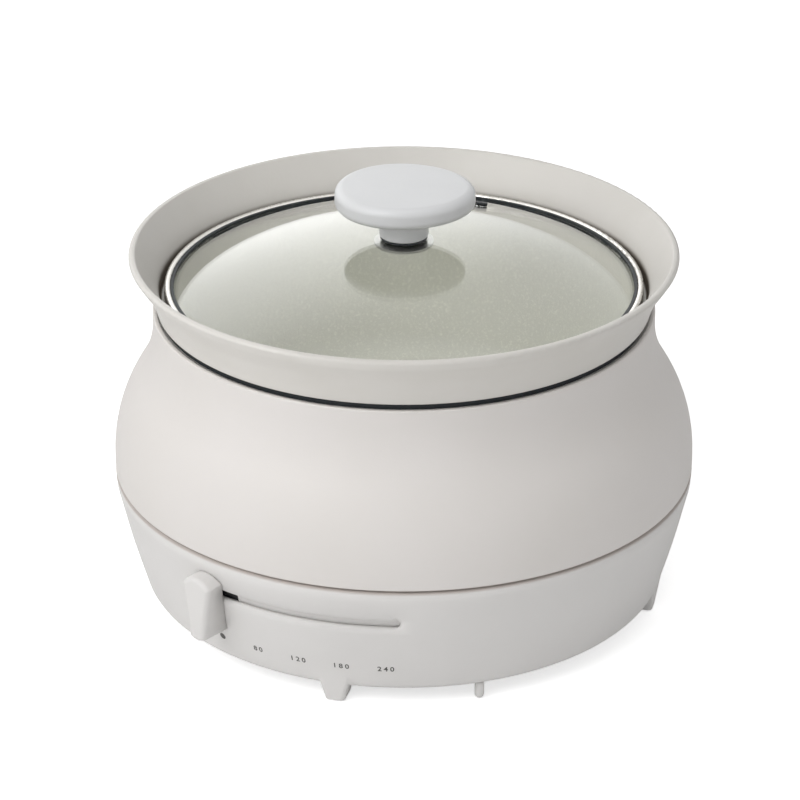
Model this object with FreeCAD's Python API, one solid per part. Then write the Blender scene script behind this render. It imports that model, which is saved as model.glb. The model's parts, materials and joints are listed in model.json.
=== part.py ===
import FreeCAD, Part
import math
import os

from FreeCAD import Vector

# Electric hot pot with a lift-off glass lid, in millimetres.
# Origin: centre of the circle of feet, on the table. +Z is up and -Y is the front, where the slider is.

# Clearances between pieces
seat_gap = 0.3
slide_gap = 0.4
running_gap = 0.08
screw_gap = 0.1
joint_gap = 0.3

# Outside form of the housing
belly_radius = 140.0
waist_radius = 119.8
shoulder_bottom = 95.6
shoulder_top = 127.0
casing_top = 148.6
casing_wall = 2.5
casing_edge_round = 0.8
seam_height = 67.4
seam_reveal = 1.2
tub_bend_height = 61.5
tub_bend_inset = 0.3
tub_middle_inset = 6.4
tub_middle_height = 35.0
tub_foot_inset = 14.1
tub_bottom = 8.0
tub_wall = 2.8
tub_floor_thickness = 2.5
tub_floor_width = 13.9
tub_bottom_round = 6.5
tongue_thickness = 2.3
tongue_height = 4.0
tongue_depth = 8.6
rib_thickness = 1.8
rib_depth = 3.0

# Neck of the casing, where the pot hangs
lip_inner_radius = 113.0
lip_top = 148.0
lip_thickness = 2.0
seat_ring_width = 3.0
seat_ring_inset = 0.2

# Feet
leg_azimuth = -82.7
leg_count = 4
leg_inset = 0.2
leg_top_spread = 2.7
leg_depth = 12.6
leg_width_foot = 9.4
leg_width_top = 19.0
leg_top_height = 20.0
leg_corner = 2.0
leg_wall = 2.2
leg_lift = 0.8
pad_inset = 2.4
pad_depth = 1.7
peg_azimuth = -51.3
peg_radius = 2.25
peg_inset = 0.4
peg_lift = 0.4

# Bottom cover and its screws
cover_thickness = 2.2
cover_ledge_width = 4.0
cover_ledge_thickness = 2.2
cover_rib_height = 4.0
cover_rib_width = 1.8
vent_slot_count = 9
vent_slot_width = 3.6
vent_slot_length = 26.0
vent_slot_circle = 62.0
cover_screw_count = 4
cover_screw_azimuth = -37.7
cover_screw_inset = 4.5
cover_screw_radius = 1.5
cover_screw_length = 11.0
screw_head_radius = 3.1
screw_head_height = 1.6
boss_radius = 4.2
boss_height = 12.0

# Slot and slider
slot_height = 48.7
slot_width = 4.2
slot_bevel = 1.5
slider_azimuth = -108.5
slider_travel = 37.0
slot_end_margin = 2.1
stem_width = 6.0
stem_height = 3.0
knob_proud = 7.8
knob_top = 59.8
knob_bottom = 26.4
knob_back_width = 17.4
knob_back_foot_width = 10.0
knob_front_width = 16.6
knob_front_waist = 12.8
knob_front_foot_width = 8.6
knob_front_drop = 0.4
knob_edge_round = 2.4
shutter_thickness = 1.2
shutter_height = 10.0
head_plate_height = 7.0
head_plate_half_angle = 5.6
head_thickness = 3.0
arm_width = 22.0
arm_thickness = 2.6
slider_screw_radius = 0.9
slider_screw_head_radius = 2.0
slider_screw_head_height = 1.4
slider_screw_cover = 4.0

# Rack sector and pinion
gear_module = 2.0
sector_inset = 28.0
pinion_teeth = 16
pressure_angle = 20.0
tooth_backlash = 0.3
sector_addendum = 0.8
sector_rim_thickness = 6.0
sector_bottom = 45.0
sector_thickness = 6.0
sector_spare_teeth = 2
pinion_bottom = 44.6
pinion_thickness = 6.8
rail_width = 2.4
rail_height = 2.0
rail_floor_thickness = 2.2
rail_start = -128.0
rail_end = -52.0
rail_post_azimuths = (-124.0, -101.0, -57.0)
rail_post_width = 9.0

# Thermostat
spindle_radius = 3.0
spindle_above_pinion = 0.8
thermostat_width = 28.0
thermostat_depth = 20.0
thermostat_height = 25.0
thermostat_corner = 2.5
bush_radius = 6.0
bush_height = 4.0
bracket_thickness = 1.2
bracket_width = 38.0
bracket_ear_height = 12.0

# Heat shield and heating element
shield_thickness = 0.8
shield_floor_radius = 109.0
shield_floor_top = 60.0
shield_corner = 10.0
shield_flange = 3.0
element_radius = 3.5
element_ring_radius = 74.0
element_gap_angle = 36.0
element_bend = 7.0
element_clearance = 2.5
element_tail = 10.0
element_azimuth = 90.0
clip_count = 3
clip_width = 9.0
clip_ear = 1.4
fuse_radius = 3.0
fuse_length = 18.0
fuse_centre = (-40.0, 44.0)

# Temperature sensor under the pot
sensor_bore = 10.6
sensor_wall = 1.2
sensor_flange_radius = 17.0
sensor_flange_thickness = 1.2
sensor_depth = 13.0
sensor_rise = 4.0
sensor_cap_height = 14.0
sensor_cap_top_thickness = 1.5
sensor_cap_wall = 1.2
spring_radius = 6.4
spring_wire = 0.7
spring_turns = 5

# Pot
pot_bottom = 72.0
pot_floor = 4.0
pot_foot_radius = 101.0
pot_foot_round = 18.0
pot_neck_radius = 111.0
pot_wall = 2.6
collar_radius = 117.8
collar_gap = 2.2
collar_round = 0.9
flare_start_radius = 119.2
flare_start_height = 161.5
flare_round = 30.0
brim_radius = 130.2
brim_top = 178.2
brim_wall = 2.9
brim_round = 1.2
ledge_height = 155.2
ledge_outer_radius = 115.9

# Lid
band_outer_radius = 114.2
band_width = 2.9
band_height = 7.0
band_round = 1.2
band_lip_width = 1.8
band_lip_thickness = 0.7
seal_width = 1.4
seal_inset = 0.1
seal_drop = 0.6
glass_seat_gap = 0.4
glass_thickness = 3.2
glass_rise = 22.6
glass_hole_radius = 4.0
vent_radius = 78.0
vent_azimuth = 83.2
grommet_flange_radius = 3.4
grommet_stem_radius = 2.4
grommet_hole_radius = 1.1
grommet_flange_height = 1.3

# Knob of the lid
washer_radius = 11.2
washer_thickness = 2.0
neck_radius = 11.7
neck_top_radius = 12.4
neck_height = 13.4
knob_radius = 32.2
knob_thickness = 10.6
knob_lobe = 0.015
knob_lobe_azimuth = 17.0
knob_oval = 0.03
knob_oval_azimuth = 22.0
knob_top_round = 4.2
knob_underside_round = 3.6
lid_screw_radius = 2.5
lid_screw_depth = 12.0
lid_screw_head_radius = 5.2
lid_screw_head_height = 2.6
backing_radius = 14.0
backing_thickness = 1.2

# Power inlet at the back
inlet_azimuth = 90.0
inlet_height = 47.5
inlet_width = 40.0
inlet_tall = 22.0
inlet_corner = 4.0
inlet_proud = 2.1
inlet_body_width = 33.0
inlet_body_tall = 15.0
inlet_body_depth = 16.0
socket_width = 27.0
socket_tall = 12.0
socket_corner = 2.5
socket_depth = 11.0
contact_spacing = 12.0
contact_radius = 1.7
contact_reach = 6.5
contact_tail_radius = 1.2
contact_tail = 12.0
contact_tip_round = 0.5
keeper_width = 2.4
keeper_tall = 8.0
keeper_thickness = 1.0
terminal_width = 26.0
terminal_depth = 12.0
terminal_tall = 14.0
terminal_inset = 48.0

# Sizes that follow from the ones above
tub_middle_radius = belly_radius - tub_middle_inset
tub_foot_radius = belly_radius - tub_foot_inset
tub_floor_opening = tub_foot_radius - tub_floor_width
leg_outer_foot = tub_foot_radius - leg_inset
leg_outer_top = tub_foot_radius + leg_top_spread
peg_outer = tub_foot_radius - peg_inset
cover_screw_circle = tub_floor_opening - cover_screw_inset
knob_front_radius = belly_radius + knob_proud
inlet_reach = belly_radius + inlet_proud
terminal_radius = belly_radius - terminal_inset
tub_top = seam_height - seam_reveal / 2
casing_bottom = seam_height + seam_reveal / 2
tongue_outer = belly_radius - casing_wall - joint_gap
seat_ring_inner = lip_inner_radius + seat_ring_inset
collar_bottom = casing_top + collar_gap
seat_ring_top = collar_bottom - seat_gap
cover_bottom = tub_bottom
cover_top = cover_bottom + cover_thickness
cover_radius = tub_floor_opening - joint_gap
sector_teeth_full_circle = 2 * round((belly_radius - sector_inset) / gear_module)
sector_pitch_radius = gear_module * sector_teeth_full_circle / 2
pinion_pitch_radius = gear_module * pinion_teeth / 2
tooth_angle = 360.0 / sector_teeth_full_circle
sector_tip_radius = sector_pitch_radius - sector_addendum * gear_module
sector_root_radius = sector_pitch_radius + 1.25 * gear_module
sector_outer_radius = sector_root_radius + sector_rim_thickness
spindle_centre = Vector(0, -(sector_pitch_radius - pinion_pitch_radius), 0)
slot_start = slider_azimuth - slot_end_margin
slot_sweep = slider_travel + 2 * slot_end_margin
rail_top = sector_bottom - joint_gap
band_bottom = ledge_height + seat_gap
band_top = band_bottom + band_height
band_inner_radius = band_outer_radius - band_width
glass_radius = band_inner_radius - 2 * seal_inset - seal_width
glass_bottom_edge = band_bottom + band_lip_thickness + glass_seat_gap
glass_apex = glass_bottom_edge + glass_thickness + glass_rise
washer_bottom = glass_apex + seal_inset
neck_bottom = washer_bottom + washer_thickness
knob_bottom_height = neck_bottom + neck_height
shield_floor_bottom = shield_floor_top - shield_thickness
element_height = pot_bottom - element_clearance - element_radius
sensor_top = pot_bottom - seat_gap
origin = Vector(0, 0, 0)
up = Vector(0, 0, 1)


# Where a corner is rounded: the two ends of the arc and its middle
def corner_arc(before, corner, after, fillet):
    to_before = (before - corner).normalize()
    to_after = (after - corner).normalize()
    half = to_before.getAngle(to_after) / 2
    trim = fillet / math.tan(half)
    centre = corner + (to_before + to_after).normalize() * (fillet / math.sin(half))
    middle = centre + (corner - centre).normalize() * fillet
    return corner + to_before * trim, middle, corner + to_after * trim


# A closed wire through (point, fillet) corners
def rounded_wire(corners):
    points = [point for point, fillet in corners]
    edges = []
    ends = []
    for i, (point, fillet) in enumerate(corners):
        if fillet:
            first, middle, last = corner_arc(points[i - 1], point, points[(i + 1) % len(points)], fillet)
            edges.append(Part.Arc(first, middle, last).toShape())
            ends.append((first, last))
        else:
            ends.append((point, point))
    for i, (first, last) in enumerate(ends):
        following = ends[(i + 1) % len(ends)][0]
        if last.distanceToPoint(following) > 1e-6:
            edges.append(Part.makeLine(last, following))
    return Part.Wire(Part.sortEdges(edges)[0])


# A section in the XZ plane from (radius, height) or (radius, height, fillet) corners
def section(corners):
    spots = [(Vector(c[0], 0, c[1]), c[2] if len(c) > 2 else 0) for c in corners]
    return Part.Face(rounded_wire(spots))


def revolved(corners):
    return section(corners).revolve(origin, up, 360)


def ring(inner, outer, bottom, top):
    return Part.makeCylinder(outer, top - bottom, Vector(0, 0, bottom)).cut(
        Part.makeCylinder(inner, top - bottom, Vector(0, 0, bottom)))


# Part of a turn of a section, from one azimuth round by a sweep
def swept_arc(corners, start, sweep):
    solid = section(corners).revolve(origin, up, sweep)
    solid.rotate(origin, up, start)
    return solid


def turned(shape, azimuth):
    copy = shape.copy()
    copy.rotate(origin, up, azimuth)
    return copy


def polar(radius, azimuth, height=0.0):
    angle = math.radians(azimuth)
    return Vector(radius * math.cos(angle), radius * math.sin(angle), height)


# A rounded rectangle, flat at one height
def flat_rectangle(x0, x1, y0, y1, z, corner):
    spots = [Vector(x0, y0, z), Vector(x1, y0, z), Vector(x1, y1, z), Vector(x0, y1, z)]
    return rounded_wire([(spot, corner) for spot in spots])


def prism(x0, x1, y0, y1, z0, z1, corner):
    return Part.Face(flat_rectangle(x0, x1, y0, y1, z0, corner)).extrude(Vector(0, 0, z1 - z0))


# A rounded block that lies along X, seen from its end
def lying_prism(x0, x1, y0, y1, z0, z1, corner):
    spots = [Vector(x0, y0, z0), Vector(x0, y1, z0), Vector(x0, y1, z1), Vector(x0, y0, z1)]
    face = Part.Face(rounded_wire([(spot, corner) for spot in spots]))
    return face.extrude(Vector(x1 - x0, 0, 0))


def box(x0, x1, y0, y1, z0, z1):
    return Part.makeBox(x1 - x0, y1 - y0, z1 - z0, Vector(x0, y0, z0))


# The tub's outside, grown or shrunk sideways, as a solid of revolution
def tub_solid(grow, bottom, top):
    slope = (tub_middle_radius - tub_foot_radius) / (tub_middle_height - tub_bottom)
    foot = tub_foot_radius + grow - slope * (tub_bottom - bottom)
    fillet = tub_bottom_round if grow > -tub_wall else tub_bottom_round / 2
    return revolved([
        (0, bottom),
        (foot, bottom, fillet),
        (tub_middle_radius + grow, tub_middle_height, 300),
        (belly_radius - tub_bend_inset + grow, tub_bend_height, 10),
        (belly_radius + grow, top),
        (0, top),
    ])


# Radius of the tub's outside on its straight upper stretch
def tub_radius(height):
    rise = (height - tub_middle_height) / (tub_bend_height - tub_middle_height)
    return tub_middle_radius + rise * (belly_radius - tub_bend_inset - tub_middle_radius)


# A band that follows the inside of the tub wall, between two depths
def wall_band(near, far, bottom, top, start, sweep):
    return swept_arc([
        (tub_radius(bottom) - far, bottom),
        (tub_radius(bottom) - near, bottom),
        (tub_radius(top) - near, top),
        (tub_radius(top) - far, top),
    ], start, sweep)


# One tapered leg, moulded hollow from above
def leg():
    outer = Part.makeLoft([
        flat_rectangle(leg_outer_foot - leg_depth, leg_outer_foot,
                       -leg_width_foot / 2, leg_width_foot / 2, leg_lift, leg_corner),
        flat_rectangle(leg_outer_foot - leg_depth, leg_outer_top,
                       -leg_width_top / 2, leg_width_top / 2, leg_top_height, leg_corner),
    ], True, True)
    pocket_foot = leg_lift + pad_depth + leg_wall
    pocket = Part.makeLoft([
        flat_rectangle(leg_outer_foot - leg_depth + leg_wall, leg_outer_foot - leg_wall,
                       -leg_width_foot / 2 + leg_wall, leg_width_foot / 2 - leg_wall, pocket_foot, leg_corner / 2),
        flat_rectangle(leg_outer_foot - leg_depth + leg_wall, leg_outer_top - leg_wall,
                       -leg_width_top / 2 + leg_wall, leg_width_top / 2 - leg_wall, leg_top_height, leg_corner / 2),
    ], True, True)
    return outer, pocket, pad(joint_gap / 2)


# Rubber pad under one leg, or the recess that holds it
def pad(grow=0.0):
    inner = leg_outer_foot - leg_depth + pad_inset - grow
    outer = leg_outer_foot - pad_inset + grow
    half = leg_width_foot / 2 - pad_inset + grow
    return prism(inner, outer, -half, half, 0, leg_lift + pad_depth, leg_corner / 2)


# The slider's slot with bevelled edges and round ends
def slot_cut():
    half = slot_width / 2
    outside = belly_radius + 4
    inside = tub_radius(slot_height) - 2 * tub_wall
    surface = tub_radius(slot_height)
    lean = (tub_radius(slot_height + half) - tub_radius(slot_height - half)) / 2
    cut = swept_arc([
        (inside, slot_height - half), (outside, slot_height - half),
        (outside, slot_height + half), (inside, slot_height + half),
    ], slot_start, slot_sweep)
    bevel = swept_arc([
        (surface - lean - slot_bevel, slot_height - half), (outside, slot_height - half - outside + surface),
        (outside, slot_height + half + outside - surface), (surface + lean - slot_bevel, slot_height + half),
    ], slot_start, slot_sweep)
    cut = cut.fuse(bevel)
    for azimuth in (slot_start, slot_start + slot_sweep):
        end = Part.makeCylinder(half, outside - inside, Vector(inside, 0, slot_height), Vector(1, 0, 0))
        rim = Part.makeCone(half, half + outside - surface + slot_bevel, outside - surface + slot_bevel,
                            Vector(surface - slot_bevel, 0, slot_height), Vector(1, 0, 0))
        cut = cut.fuse(turned(end.fuse(rim), azimuth))
    return cut


def leg_azimuths():
    return [leg_azimuth + i * 360.0 / leg_count for i in range(leg_count)]


def screw_azimuths():
    return [cover_screw_azimuth + i * 360.0 / cover_screw_count for i in range(cover_screw_count)]


# Moulded base: outer wall, floor ring, legs, cover ledge, screw bosses and the tongue under the casing
def base_tub():
    tub = tub_solid(0, tub_bottom, tub_top)
    tub = tub.cut(tub_solid(-tub_wall, tub_bottom + tub_floor_thickness, tub_top + 1))
    tub = tub.fuse(ring(tongue_outer - tongue_thickness, tongue_outer,
                        seam_height - tongue_depth, seam_height + tongue_height))
    tub = tub.cut(Part.makeCylinder(tub_floor_opening, tub_floor_thickness + 2, Vector(0, 0, tub_bottom - 1)))
    ledge_bottom = cover_top
    tub = tub.fuse(ring(tub_floor_opening - cover_ledge_width, tub_floor_opening + 2,
                        ledge_bottom, ledge_bottom + cover_ledge_thickness))
    outer, pocket, recess = leg()
    for azimuth in leg_azimuths():
        tub = tub.fuse(turned(outer, azimuth))
    for azimuth in leg_azimuths():
        tub = tub.cut(turned(pocket.fuse(recess), azimuth))
    for azimuth in screw_azimuths():
        boss = Part.makeCylinder(boss_radius, boss_height, polar(cover_screw_circle, azimuth, ledge_bottom))
        tub = tub.fuse(boss)
    for azimuth in screw_azimuths():
        hole = Part.makeCylinder(cover_screw_radius + screw_gap, cover_screw_length,
                                 polar(cover_screw_circle, azimuth, ledge_bottom - 1))
        tub = tub.cut(hole)
    tub = tub.fuse(peg())
    window = lying_prism(tub_foot_radius - 20, belly_radius + 10,
                         -inlet_body_width / 2 - joint_gap, inlet_body_width / 2 + joint_gap,
                         inlet_height - inlet_body_tall / 2 - joint_gap,
                         inlet_height + inlet_body_tall / 2 + joint_gap, inlet_corner / 2)
    tub = tub.cut(turned(window, inlet_azimuth))
    return tub.cut(slot_cut()).removeSplitter()


# Thin peg beside the front leg
def peg():
    foot = polar(peg_outer - peg_radius, peg_azimuth, peg_lift + peg_radius)
    shaft = Part.makeCylinder(peg_radius, tub_bottom + 1 - peg_lift - peg_radius, foot)
    return shaft.fuse(Part.makeSphere(peg_radius, foot))


# Round bottom cover with ribs and vent slots
def bottom_cover():
    cover = Part.makeCylinder(cover_radius, cover_thickness, Vector(0, 0, cover_bottom))
    inner = vent_slot_circle - vent_slot_length / 2
    for i in range(vent_slot_count):
        slot = prism(inner, inner + vent_slot_length, -vent_slot_width / 2, vent_slot_width / 2,
                     cover_bottom - 1, cover_top + 1, vent_slot_width / 2.1)
        cover = cover.cut(turned(slot, i * 360.0 / vent_slot_count))
    rib_ring = inner - 2 * cover_rib_width
    cover = cover.fuse(ring(rib_ring - cover_rib_width, rib_ring, cover_top, cover_top + cover_rib_height))
    for azimuth in screw_azimuths():
        hole = Part.makeCylinder(cover_screw_radius + screw_gap, cover_thickness,
                                 polar(cover_screw_circle, azimuth, cover_bottom))
        cover = cover.cut(hole)
    return cover


# The cover's screws, one group of separate solids
def cover_screws():
    screws = []
    for azimuth in screw_azimuths():
        shank = Part.makeCylinder(cover_screw_radius, cover_screw_length - 1,
                                  polar(cover_screw_circle, azimuth, cover_bottom))
        head = Part.makeCylinder(screw_head_radius, screw_head_height,
                                 polar(cover_screw_circle, azimuth, cover_bottom - screw_head_height))
        screws.append(shank.fuse(head))
    return Part.makeCompound(screws)


# Upper casing: belly, shoulder and waist in one shell, with a lip for the pot and a rib over the tongue
def upper_casing():
    run = belly_radius - waist_radius
    drop = shoulder_top - shoulder_bottom
    half_turn = math.tan(math.atan2(run, drop) / 2)
    waist_curve = 0.42 * math.hypot(run, drop) / half_turn
    belly_curve = 0.57 * math.hypot(run, drop) / half_turn
    shell = revolved([
        (belly_radius, casing_bottom, casing_edge_round),
        (belly_radius, shoulder_bottom, belly_curve),
        (waist_radius, shoulder_top, waist_curve),
        (waist_radius, casing_top, casing_edge_round),
        (waist_radius - casing_wall, casing_top, casing_edge_round),
        (waist_radius - casing_wall, shoulder_top, waist_curve),
        (belly_radius - casing_wall, shoulder_bottom, belly_curve),
        (belly_radius - casing_wall, casing_bottom),
    ])
    lip = ring(lip_inner_radius, waist_radius - casing_wall / 2, lip_top - lip_thickness, lip_top)
    rib_bottom = seam_height + tongue_height
    rib = ring(belly_radius - casing_wall - rib_depth, belly_radius - casing_wall / 2,
               rib_bottom, rib_bottom + rib_thickness)
    return shell.fuse(lip).fuse(rib).removeSplitter()


# Dark seat that the pot's collar rests on
def seat_ring():
    return ring(seat_ring_inner, seat_ring_inner + seat_ring_width, lip_top, seat_ring_top)


# Pressed dish between the element and the housing
def heat_shield():
    wall_radius = lip_inner_radius + shield_thickness
    flange_bottom = lip_top - lip_thickness - shield_thickness
    dish = revolved([
        (0, shield_floor_bottom),
        (shield_floor_radius, shield_floor_bottom, shield_corner),
        (wall_radius, flange_bottom),
        (wall_radius + shield_flange, flange_bottom),
        (wall_radius + shield_flange, flange_bottom + shield_thickness),
        (wall_radius - shield_thickness, flange_bottom + shield_thickness),
        (shield_floor_radius - shield_thickness, shield_floor_top, shield_corner - shield_thickness),
        (0, shield_floor_top),
    ])
    hole_radius = sensor_bore + sensor_wall + joint_gap
    dish = dish.cut(Part.makeCylinder(hole_radius, 3, Vector(0, 0, shield_floor_bottom - 1)))
    for side in (-1, 1):
        spot = polar(element_ring_radius, element_azimuth + side * element_gap_angle / 2, shield_floor_bottom - 1)
        spot = spot + tail_offset(side)
        dish = dish.cut(Part.makeCylinder(element_radius + 1, 3, spot))
    return dish


# How far the element's tail stands along the ring's tangent from the ring's end
def tail_offset(side):
    end = element_azimuth + side * element_gap_angle / 2
    return polar(element_bend, end - side * 90)


# Tubular element: an open ring whose two ends bend down through the shield
def heating_element():
    profile = Part.Wire(Part.Circle(Vector(element_ring_radius, 0, element_height), Vector(0, 1, 0),
                                    element_radius).toShape())
    tube = Part.Face(profile).revolve(origin, up, 360 - element_gap_angle)
    tube.rotate(origin, up, element_azimuth + element_gap_angle / 2)
    for side in (-1, 1):
        end = element_azimuth + side * element_gap_angle / 2
        disc = Part.Circle(polar(element_ring_radius, end, element_height), polar(1, end + 90), element_radius)
        disc = Part.Face(Part.Wire(disc.toShape()))
        pivot = polar(element_ring_radius, end, element_height - element_bend)
        elbow = disc.revolve(pivot, polar(1, end) * side, 90)
        tail_top = polar(element_ring_radius, end, element_height - element_bend) + tail_offset(side)
        tail = Part.makeCylinder(element_radius, element_tail, tail_top - up * element_tail)
        tube = tube.fuse(elbow).fuse(tail)
    return tube


def clip_azimuths():
    return [element_azimuth + 180 + (i - 1) * 360.0 / (clip_count + 0.6) for i in range(clip_count)]


# Cradle that stands on the shield and holds the element's tube
def element_clip(azimuth):
    half = element_radius + clip_ear
    gap = seat_gap / 2
    block = box(element_ring_radius - half - gap, element_ring_radius + half + gap,
                -clip_width / 2, clip_width / 2, shield_floor_top, element_height)
    tube = Part.makeTorus(element_ring_radius, element_radius + gap, Vector(0, 0, element_height))
    throat = box(element_ring_radius - element_radius - gap, element_ring_radius + element_radius + gap,
                 -clip_width, clip_width, element_height - 0.5, element_height + 1)
    return turned(block.cut(tube).cut(throat), azimuth)


def thermal_fuse():
    x, y = fuse_centre
    centre = Vector(x - fuse_length / 2, y, shield_floor_bottom - fuse_radius - joint_gap / 2)
    body = Part.makeCylinder(fuse_radius, fuse_length, centre, Vector(1, 0, 0))
    neck = Part.makeCylinder(fuse_radius / 2, fuse_length + 8, centre - Vector(4, 0, 0), Vector(1, 0, 0))
    return body.fuse(neck)


# Sensor's guide tube with a flange on the shield floor
def sensor_housing():
    outer = sensor_bore + sensor_wall
    bottom = shield_floor_top - sensor_depth
    top = shield_floor_top + sensor_rise
    tube = revolved([
        (0, bottom, 0),
        (outer, bottom, 1),
        (outer, shield_floor_top),
        (sensor_flange_radius, shield_floor_top),
        (sensor_flange_radius, shield_floor_top + sensor_flange_thickness),
        (outer, shield_floor_top + sensor_flange_thickness),
        (outer, top),
        (sensor_bore, top),
        (sensor_bore, bottom + sensor_wall),
        (0, bottom + sensor_wall),
    ])
    return tube


# Sliding cap that presses on the pot's underside
def sensor_cap():
    outer = sensor_bore - running_gap
    return revolved([
        (0, sensor_top - sensor_cap_top_thickness),
        (outer - sensor_cap_wall, sensor_top - sensor_cap_top_thickness),
        (outer - sensor_cap_wall, sensor_top - sensor_cap_height),
        (outer, sensor_top - sensor_cap_height),
        (outer, sensor_top, 1),
        (0, sensor_top),
    ])


# Coil spring between the housing's floor and the cap
def sensor_spring():
    bottom = shield_floor_top - sensor_depth + sensor_wall + spring_wire + screw_gap
    top = sensor_top - sensor_cap_top_thickness - spring_wire - screw_gap
    helix = Part.makeHelix((top - bottom) / spring_turns, top - bottom, spring_radius)
    circle = Part.Circle(Vector(spring_radius, 0, 0), Vector(0, 1, 0), spring_wire).toShape()
    coil = Part.Wire(helix.Edges).makePipeShell([Part.Wire(circle)], True, True)
    coil.translate(Vector(0, 0, bottom))
    return coil


# Roll angle of an involute at a radius
def involute(base, radius):
    angle = math.acos(min(1.0, base / radius))
    return math.tan(angle) - angle


# Half the angle of a tooth of an outside gear, or of the space of an inside gear, at a radius
def tooth_half_angle(pitch_radius, arc_width, radius):
    base = pitch_radius * math.cos(math.radians(pressure_angle))
    at_pitch = arc_width / (2 * pitch_radius) + involute(base, pitch_radius)
    return math.degrees(at_pitch - involute(base, max(base, radius)))


# One flank as an arc through three points of the involute, from one radius to another
def flank(centre, pitch_radius, arc_width, azimuth, side, radius_from, radius_to):
    points = []
    for radius in (radius_from, (radius_from + radius_to) / 2, radius_to):
        angle = azimuth + side * tooth_half_angle(pitch_radius, arc_width, radius)
        points.append(centre + polar(radius, angle))
    return Part.Arc(*points).toShape(), points[0], points[2]


# Rack sector with inside teeth, its guide groove, the arm and the plate behind the slot
def slide_carrier():
    space = math.pi * gear_module / 2 + tooth_backlash / 2
    first = -math.ceil(slider_travel / tooth_angle) - sector_spare_teeth
    edges = []
    last_point = polar(sector_tip_radius, -90 + (first - 0.5) * tooth_angle)
    start_point = last_point
    for i in range(first, sector_spare_teeth + 1):
        azimuth = -90 + i * tooth_angle
        rise, a, b = flank(origin, sector_pitch_radius, space, azimuth, -1, sector_tip_radius, sector_root_radius)
        fall, c, d = flank(origin, sector_pitch_radius, space, azimuth, 1, sector_root_radius, sector_tip_radius)
        edges += [Part.makeLine(last_point, a), rise, Part.makeLine(b, c), fall]
        last_point = d
    end_angle = -90 + (sector_spare_teeth + 0.5) * tooth_angle
    start_angle = -90 + (first - 0.5) * tooth_angle
    end_point = polar(sector_tip_radius, end_angle)
    outer_end = polar(sector_outer_radius, end_angle)
    outer_start = polar(sector_outer_radius, start_angle)
    outer_middle = polar(sector_outer_radius, (start_angle + end_angle) / 2)
    edges += [Part.makeLine(last_point, end_point), Part.makeLine(end_point, outer_end)]
    edges += [Part.Arc(outer_end, outer_middle, outer_start).toShape(), Part.makeLine(outer_start, start_point)]
    rim = Part.Face(Part.Wire(edges)).extrude(up * sector_thickness)
    rim.translate(Vector(0, 0, sector_bottom))
    rail = rail_radii()
    groove_top = rail_top + rail_height + joint_gap
    groove = swept_arc([(rail[0] - joint_gap, sector_bottom - 1), (rail[1] + joint_gap, sector_bottom - 1),
                        (rail[1] + joint_gap, groove_top), (rail[0] - joint_gap, groove_top)],
                       start_angle - 5, end_angle - start_angle + 10)
    return rim.cut(groove).fuse(slider_arm()).removeSplitter()


# Inner and outer radius of the guide rail's tongue
def rail_radii():
    middle = (sector_root_radius + sector_outer_radius) / 2
    return middle - rail_width / 2, middle + rail_width / 2


# Arm from the sector out to the slot, with its head plate and a hole for the slider's screw
def slider_arm():
    plate_near = tub_wall + slide_gap
    head_far = plate_near + shutter_thickness + head_thickness
    bottom = slot_height - head_plate_height / 2
    top = slot_height + head_plate_height / 2
    plate = wall_band(plate_near, plate_near + shutter_thickness, bottom, top,
                      slider_azimuth - head_plate_half_angle, 2 * head_plate_half_angle)
    head_angle = 0.7 * head_plate_half_angle
    head = wall_band(plate_near + shutter_thickness / 2, head_far, bottom, top,
                     slider_azimuth - head_angle, 2 * head_angle)
    groove_roof = rail_top + rail_height + joint_gap
    arm_bottom = groove_roof + 0.2
    inner = sector_root_radius + 1
    outer = tub_radius(slot_height) - head_far + 2
    arm = box(inner, outer, -arm_width / 2, arm_width / 2, arm_bottom, arm_bottom + arm_thickness)
    arm = arm.cut(box(sector_outer_radius + 2, outer - 4, -arm_width / 2 + 4, arm_width / 2 - 4,
                      arm_bottom - 1, arm_bottom + arm_thickness + 1))
    whole = plate.fuse(head).fuse(turned(arm, slider_azimuth))
    return whole.cut(slider_screw_hole())


def slider_screw_hole():
    seat = slider_screw_seat()
    hole = Part.makeCylinder(slider_screw_radius + screw_gap, knob_front_radius - seat,
                             Vector(seat - 1, 0, slot_height), Vector(1, 0, 0))
    recess_depth = 6 * slider_screw_head_radius
    recess = Part.makeCylinder(slider_screw_head_radius + 1, recess_depth,
                               Vector(seat - recess_depth, 0, slot_height), Vector(1, 0, 0))
    return turned(hole.fuse(recess), slider_azimuth)


# Radius at which the head of the slider's screw bears on the arm
def slider_screw_seat():
    return tub_radius(slot_height) - tub_wall - slide_gap - shutter_thickness - head_thickness + 1.2


def slider_screw():
    seat = slider_screw_seat()
    shank = Part.makeCylinder(slider_screw_radius, knob_front_radius - slider_screw_cover - seat,
                              Vector(seat, 0, slot_height), Vector(1, 0, 0))
    head = Part.makeCylinder(slider_screw_head_radius, slider_screw_head_height,
                             Vector(seat - slider_screw_head_height, 0, slot_height), Vector(1, 0, 0))
    return turned(shank.fuse(head), slider_azimuth)


# Light strip that closes the slot behind the slider at every setting
def slot_shutter():
    near = tub_wall + slide_gap
    bottom = slot_height - shutter_height / 2
    top = slot_height + shutter_height / 2
    reach = slider_travel + 2 * slot_end_margin
    strip = wall_band(near, near + shutter_thickness, bottom, top, slider_azimuth - reach, 2 * reach)
    window_bottom = slot_height - head_plate_height / 2 - screw_gap
    window_top = slot_height + head_plate_height / 2 + screw_gap
    window_angle = head_plate_half_angle + 0.1
    window = wall_band(near - 2, near + shutter_thickness + 2, window_bottom, window_top,
                       slider_azimuth - window_angle, 2 * window_angle)
    return strip.cut(window)


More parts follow.
